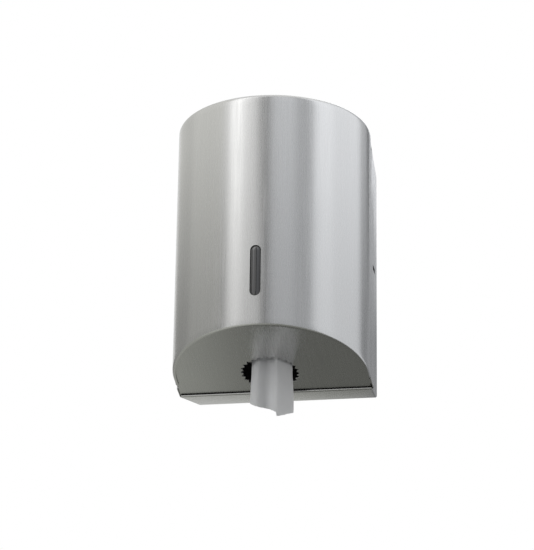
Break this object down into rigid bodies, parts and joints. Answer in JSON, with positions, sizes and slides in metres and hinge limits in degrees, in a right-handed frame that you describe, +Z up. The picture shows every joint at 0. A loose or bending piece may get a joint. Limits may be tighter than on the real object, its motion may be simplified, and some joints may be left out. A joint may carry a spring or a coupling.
{
  "type": "centre pull towel dispenser",
  "caption": "Wall-mounted steel centre pull towel dispenser with a hinged curved cover, push latch, toothed outlet and paper roll.",
  "frame": {"origin": "centre of the four wall screw holes, on the wall face of the back tray", "axes": "+Y into the wall, +Z up, +X to the viewer's right"},
  "size_m": [0.24, 0.1866, 0.3854],
  "materials": {
    "satin_steel": "satin",
    "plain_steel": "satin",
    "bright_steel": "gloss",
    "black_plastic": "matte",
    "smoked_acrylic": "gloss",
    "tissue_paper": "matte"
  },
  "bodies": {
    "housing": {"back_tray": "satin_steel", "base_plate": "satin_steel", "roll_shelf": "plain_steel", "shelf_rivets": "bright_steel", "outlet_guide": "black_plastic", "guide_rivets": "bright_steel", "hinge_tray_leaf": "plain_steel", "hinge_pin": "bright_steel", "latch_housing": "plain_steel", "latch_spring": "bright_steel", "paper_roll": "tissue_paper"},
    "cover": {"cover_wrap": "satin_steel", "cover_top": "satin_steel", "hinge_cover_leaf": "plain_steel", "strike_plate": "plain_steel", "sight_window": "smoked_acrylic", "window_frame": "plain_steel", "window_studs": "bright_steel", "window_nuts": "bright_steel"},
    "latch": {"latch_button": "black_plastic", "latch_hook": "plain_steel", "hook_rivet": "bright_steel"},
    "paper": {"paper_tail": "tissue_paper"}
  },
  "joints": [
    {"name": "cover_hinge", "type": "hinge", "parent": "housing", "child": "cover", "pos_m": [-0.11725, -0.056, 0.0115], "axis": [0, 0, -1], "range_deg": [0, 110]},
    {"name": "latch_press", "type": "slide", "parent": "housing", "child": "latch", "axis": [-1, 0, 0], "range_m": [0, 0.004], "stiffness_N_per_m": 800, "springref_m": -0.004, "deforming": ["latch_spring"]},
    {"name": "paper_pull", "type": "slide", "parent": "housing", "child": "paper", "axis": [0, 0, -1], "range_m": [0, 0.05]}
  ]
}
